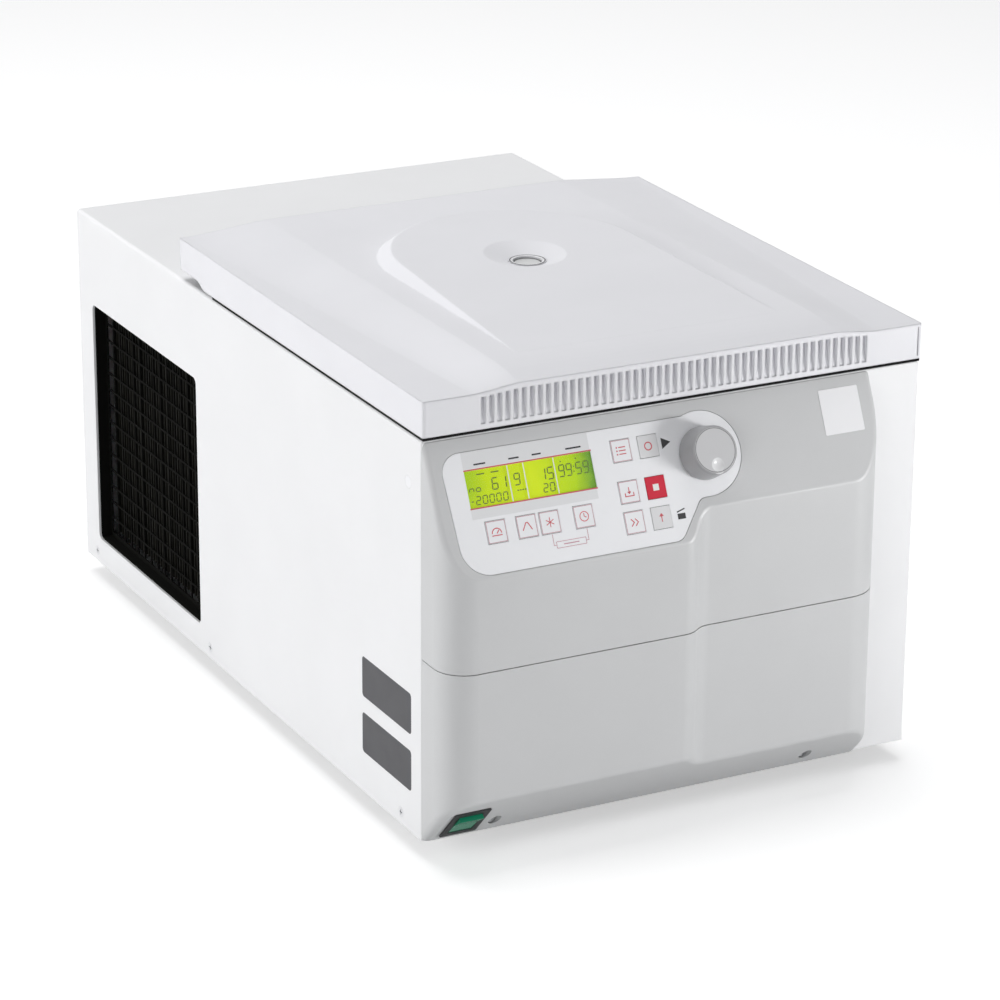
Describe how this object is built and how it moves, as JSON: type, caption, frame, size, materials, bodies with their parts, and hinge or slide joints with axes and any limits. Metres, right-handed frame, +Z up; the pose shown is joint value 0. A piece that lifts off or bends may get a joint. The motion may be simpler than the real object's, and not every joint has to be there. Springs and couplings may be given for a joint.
{
  "type": "benchtop centrifuge",
  "caption": "Refrigerated benchtop centrifuge with a hinged lid over a rotor chamber, a slanted front control panel with keys and knob, and a side condenser grille.",
  "frame": {"origin": "on the bench under the middle of the machine's footprint", "axes": "+X to the operator's right, +Y to the rear, +Z up"},
  "size_m": [0.4, 0.6826, 0.3617],
  "materials": {
    "case_paint": "satin powder coat",
    "grey_plastic": "fine satin",
    "foil": "satin",
    "clear_window": "clear",
    "lcd": "smooth",
    "board_green": "satin",
    "key_white": "satin",
    "key_red": "satin",
    "key_grey": "satin",
    "knob_plastic": "satin",
    "zinc_steel": "satin",
    "stainless": "brushed",
    "cast": "painted",
    "black_plastic": "satin",
    "rocker_green": "gloss",
    "black_sheet": "matt",
    "plate_grey": "satin",
    "alloy": "anodised",
    "copper": "satin",
    "rubber_black": "matt",
    "seal_rubber": "matt",
    "foam": "matt",
    "sight_glass": "clear",
    "case_paint_lid": "fine texture"
  },
  "bodies": {
    "base": {"housing": "case_paint", "rear_panel": "case_paint", "base_plate": "zinc_steel", "feet": "rubber_black", "upper_front_cover": "grey_plastic", "lower_front_cover": "grey_plastic", "panel_overlay": "foil", "display_window": "clear_window", "display_module": "lcd", "control_board": "board_green", "encoder": "black_plastic", "switch_frame": "black_plastic", "case_screws": "zinc_steel", "condenser_grille": "black_sheet", "condenser": "alloy", "fan_frame": "black_sheet", "compressor": "cast", "refrigerant_lines": "copper", "inverter_board": "board_green", "power_inlet": "black_plastic", "chamber_bowl": "stainless", "chamber_gasket": "seal_rubber", "evaporator_coil": "copper", "chamber_insulation": "foam", "guard_ring": "zinc_steel", "motor_housing": "alloy", "motor_stator": "zinc_steel", "motor_bearings": "zinc_steel", "motor_plate": "zinc_steel", "vibration_mounts": "rubber_black", "hinge_brackets": "zinc_steel", "hinge_pins": "zinc_steel", "lock_case": "zinc_steel", "release_plug": "key_white", "label_plates": "plate_grey"},
    "lid": {"lid_cover": "case_paint_lid", "lid_plate": "zinc_steel", "port_bezel": "zinc_steel", "port_window": "sight_glass", "hinge_arms": "zinc_steel", "lid_hook": "zinc_steel"},
    "drive": {"drive_shaft": "zinc_steel", "motor_core": "zinc_steel", "rotor": "alloy", "rotor_nut": "black_plastic"},
    "fan": {"fan_rotor": "black_plastic"},
    "knob": {"selector_knob": "knob_plastic", "encoder_shaft": "zinc_steel"},
    "rocker": {"mains_rocker": "rocker_green"},
    "bolt": {"lock_bolt": "zinc_steel"},
    "key_01": {"key_01": "key_white"},
    "key_02": {"key_02": "key_white"},
    "key_03": {"key_03": "key_white"},
    "key_04": {"key_04": "key_white"},
    "key_05": {"key_05": "key_white"},
    "key_06": {"key_06": "key_grey"},
    "key_07": {"key_07": "key_white"},
    "key_08": {"key_08": "key_red"},
    "key_09": {"key_09": "key_white"},
    "key_10": {"key_10": "key_grey"}
  },
  "joints": [
    {"name": "lid_hinge", "type": "hinge", "parent": "base", "child": "lid", "pos_m": [0, 0.104, 0.335], "axis": [-1, 0, 0], "range_deg": [0, 72]},
    {"name": "rotor_spin", "type": "hinge", "parent": "base", "child": "drive", "pos_m": [0, -0.071, 0.203], "axis": [0, 0, 1], "continuous": true},
    {"name": "fan_spin", "type": "hinge", "parent": "base", "child": "fan", "pos_m": [-0.15, 0.201, 0.1385], "axis": [-1, 0, 0], "continuous": true},
    {"name": "knob_turn", "type": "hinge", "parent": "base", "child": "knob", "pos_m": [0.0113, -0.31594, 0.27676], "axis": [0, -0.9059, 0.4234], "continuous": true},
    {"name": "rocker_tip", "type": "hinge", "parent": "base", "child": "rocker", "pos_m": [-0.1754, -0.31698, 0.03433], "axis": [-1, 0, 0], "range_deg": [0, 16]},
    {"name": "bolt_slide", "type": "slide", "parent": "base", "child": "bolt", "axis": [0, 1, 0], "range_m": [0, 0.011]},
    {"name": "key_01_press", "type": "slide", "parent": "base", "child": "key_01", "axis": [0, 0.9059, -0.4234], "range_m": [0, 0.0005], "stiffness_N_per_m": 900},
    {"name": "key_02_press", "type": "slide", "parent": "base", "child": "key_02", "axis": [0, 0.9059, -0.4234], "range_m": [0, 0.0005], "stiffness_N_per_m": 900},
    {"name": "key_03_press", "type": "slide", "parent": "base", "child": "key_03", "axis": [0, 0.9059, -0.4234], "range_m": [0, 0.0005], "stiffness_N_per_m": 900},
    {"name": "key_04_press", "type": "slide", "parent": "base", "child": "key_04", "axis": [0, 0.9059, -0.4234], "range_m": [0, 0.0005], "stiffness_N_per_m": 900},
    {"name": "key_05_press", "type": "slide", "parent": "base", "child": "key_05", "axis": [0, 0.9059, -0.4234], "range_m": [0, 0.0005], "stiffness_N_per_m": 900},
    {"name": "key_06_press", "type": "slide", "parent": "base", "child": "key_06", "axis": [0, 0.9059, -0.4234], "range_m": [0, 0.0005], "stiffness_N_per_m": 900},
    {"name": "key_07_press", "type": "slide", "parent": "base", "child": "key_07", "axis": [0, 0.9059, -0.4234], "range_m": [0, 0.0005], "stiffness_N_per_m": 900},
    {"name": "key_08_press", "type": "slide", "parent": "base", "child": "key_08", "axis": [0, 0.9059, -0.4234], "range_m": [0, 0.0005], "stiffness_N_per_m": 900},
    {"name": "key_09_press", "type": "slide", "parent": "base", "child": "key_09", "axis": [0, 0.9059, -0.4234], "range_m": [0, 0.0005], "stiffness_N_per_m": 900},
    {"name": "key_10_press", "type": "slide", "parent": "base", "child": "key_10", "axis": [0, 0.9059, -0.4234], "range_m": [0, 0.0005], "stiffness_N_per_m": 900}
  ]
}
